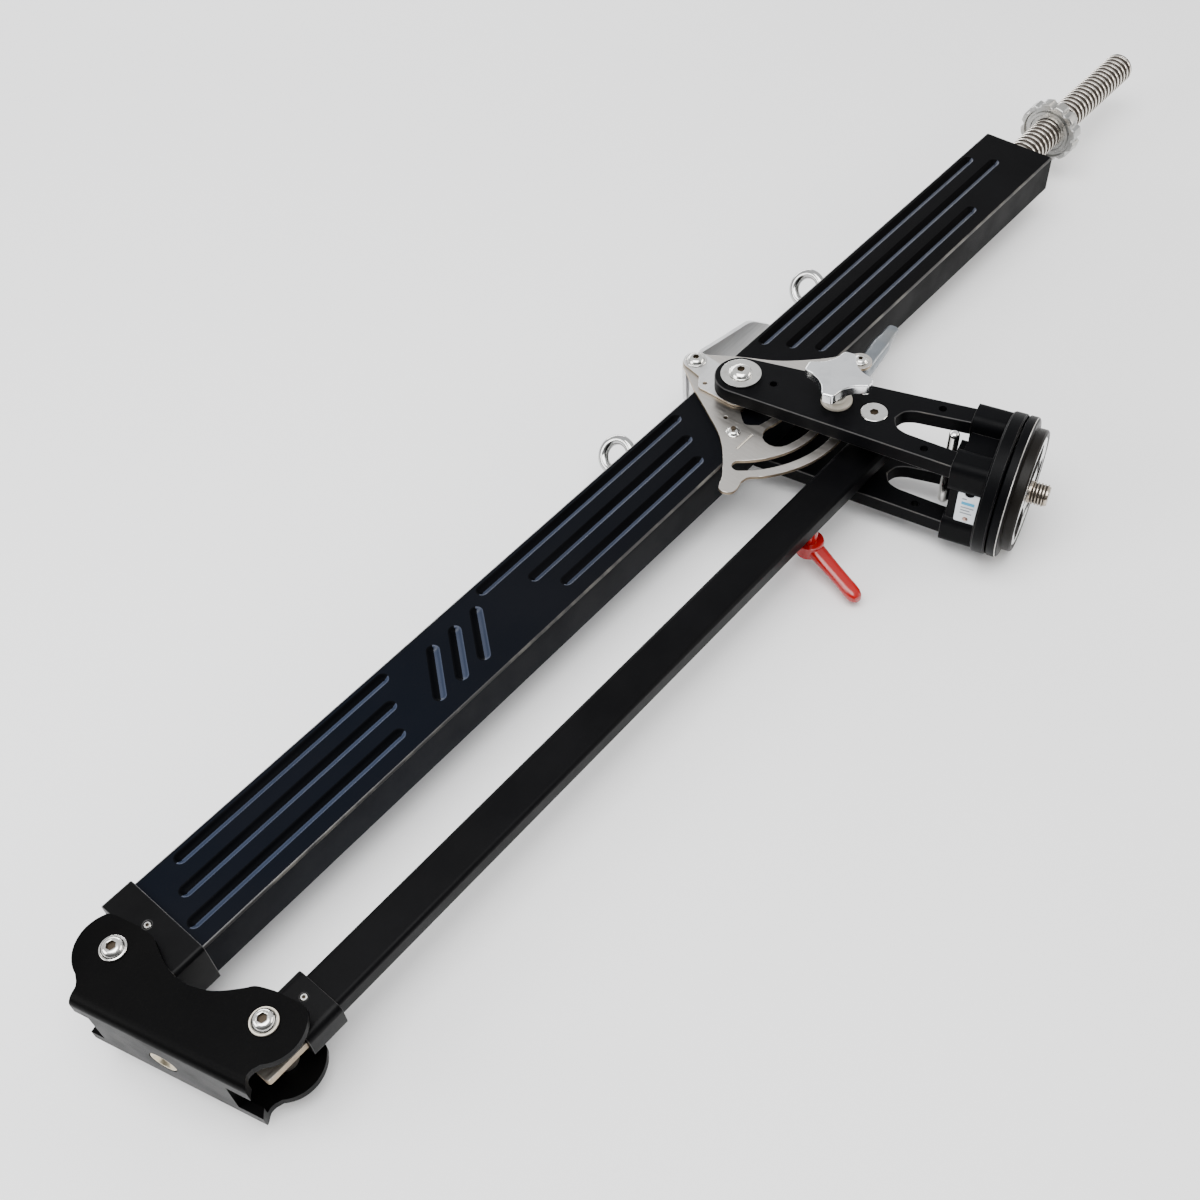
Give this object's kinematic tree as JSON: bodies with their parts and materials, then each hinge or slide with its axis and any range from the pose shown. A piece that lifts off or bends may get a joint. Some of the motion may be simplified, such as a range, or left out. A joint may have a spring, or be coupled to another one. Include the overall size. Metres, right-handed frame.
{
  "type": "camera jib arm",
  "caption": "Compact parallelogram camera crane: two linked arms on a panning yoke, levelled camera bracket, counterweight rod.",
  "frame": {"origin": "centre of the flat end of the tripod stud, on the pan axis", "axes": "+X along the main arm from camera bracket to counterweight rod, +Z along the tilt pivots, the crane lying on its side"},
  "size_m": [1.1155, 0.2703, 0.1037],
  "materials": {
    "black_powder_coat": "satin black powder coat",
    "black_steel": "satin black paint on steel",
    "brushed_stainless": "brushed stainless steel",
    "bright_fasteners": "polished stainless steel",
    "polished_knob": "polished metal",
    "light_alloy": "light cast and turned aluminium",
    "zinc": "die-cast zinc",
    "brass": "plain brass",
    "red_paint": "gloss red coating",
    "label": "satin silver label foil"
  },
  "bodies": {
    "adapter": {"adapter_ring": "black_powder_coat", "spoke_plate": "light_alloy", "pan_axle": "brushed_stainless", "pan_axle_nut": "brushed_stainless", "tripod_stud": "brushed_stainless"},
    "yoke": {"yoke_base": "black_powder_coat", "yoke_arm_upper": "black_powder_coat", "yoke_arm_lower": "black_powder_coat", "main_pivot_bolt": "bright_fasteners", "main_pivot_washer_upper": "brushed_stainless", "main_pivot_washer_lower": "brushed_stainless", "main_pivot_spacer": "black_steel", "lower_pivot_shaft": "brushed_stainless", "lower_pivot_screw_upper": "bright_fasteners", "lower_pivot_screw_lower": "bright_fasteners", "label_plate": "label", "label_rivet": "bright_fasteners", "yoke_clamp_screw": "bright_fasteners", "pan_bearing": "brushed_stainless", "star_knob_washer": "bright_fasteners", "slot_nut": "brushed_stainless"},
    "star_knob": {"star_knob": "polished_knob", "star_knob_stud": "brushed_stainless"},
    "main_arm": {"main_tube": "black_powder_coat", "front_sleeve": "black_steel", "front_tongue": "brushed_stainless", "front_grub_screw": "brushed_stainless", "main_pivot_bush": "brass", "fulcrum_plate": "brushed_stainless", "link_plate": "brushed_stainless", "plate_screw": "bright_fasteners", "saddle_web": "brushed_stainless", "corner_bolt": "bright_fasteners", "lever_pivot_bolt": "bright_fasteners", "eye_bolt_front": "bright_fasteners", "eye_bolt_rear": "bright_fasteners", "rear_plug": "black_steel", "counterweight_rod": "brushed_stainless"},
    "nut_thread": {"hand_nut_thread": "brass"},
    "hand_nut": {"hand_nut": "light_alloy"},
    "lower_arm": {"lower_tube": "black_powder_coat", "lower_sleeve": "black_steel", "lower_tongue": "brushed_stainless", "lower_grub_screw": "brushed_stainless", "lower_pivot_bush": "black_powder_coat"},
    "zinc_lever": {"zinc_lever": "zinc"},
    "red_lever": {"red_lever": "red_paint", "red_lever_screw": "bright_fasteners"},
    "front_bracket": {"front_bracket": "black_steel", "camera_thread_insert": "brass", "front_pivot_screw_upper": "bright_fasteners", "front_pivot_screw_lower": "bright_fasteners", "front_pivot_spacer_upper": "brushed_stainless", "front_pivot_spacer_lower": "brushed_stainless", "front_lower_pivot_screw_upper": "bright_fasteners", "front_lower_pivot_screw_lower": "bright_fasteners", "front_lower_pivot_spacer_upper": "brushed_stainless", "front_lower_pivot_spacer_lower": "brushed_stainless"}
  },
  "joints": [
    {"name": "pan", "type": "hinge", "parent": "adapter", "child": "yoke", "pos_m": [-0.00685, 0.02612, 0], "axis": [0.2538, -0.9673, 0], "continuous": true},
    {"name": "tilt", "type": "hinge", "parent": "yoke", "child": "main_arm", "pos_m": [-0.05481, 0.20893, -0.0044], "axis": [0, 0, 1], "range_deg": [-20, 48]},
    {"name": "lower_arm_swing", "type": "hinge", "parent": "yoke", "child": "lower_arm", "pos_m": [-0.03078, 0.11733, -0.0044], "axis": [0, 0, 1], "range_deg": [-20, 48]},
    {"name": "bracket_level", "type": "hinge", "parent": "main_arm", "child": "front_bracket", "pos_m": [-0.59051, 0.20893, -0.0044], "axis": [0, 0, 1], "range_deg": [-48, 20]},
    {"name": "knob_turn", "type": "hinge", "parent": "yoke", "child": "star_knob", "pos_m": [-0.03746, 0.14277, 0.05], "axis": [0, 0, 1], "range_deg": [-180, 360]},
    {"name": "zinc_lever_swing", "type": "hinge", "parent": "main_arm", "child": "zinc_lever", "pos_m": [0.02319, 0.16293, -0.0044], "axis": [0, 0, 1], "range_deg": [-75, 0]},
    {"name": "red_lever_swing", "type": "hinge", "parent": "lower_arm", "child": "red_lever", "pos_m": [-0.10631, 0.11143, -0.0194], "axis": [0, 0, 1], "range_deg": [-60, 0]},
    {"name": "nut_travel", "type": "slide", "parent": "main_arm", "child": "nut_thread", "axis": [1, 0, 0], "range_m": [-0.035, 0.1]},
    {"name": "nut_spin", "type": "hinge", "parent": "nut_thread", "child": "hand_nut", "pos_m": [0.37319, 0.20893, -0.0044], "axis": [1, 0, 0], "range_deg": [-2356.4, 6610.9]}
  ],
  "couplings": [
    {"joint": "lower_arm_swing", "follows": "tilt", "ratio": 1},
    {"joint": "bracket_level", "follows": "tilt", "ratio": -1},
    {"joint": "nut_spin", "follows": "nut_travel", "rad_per_m": 1142.4}
  ]
}
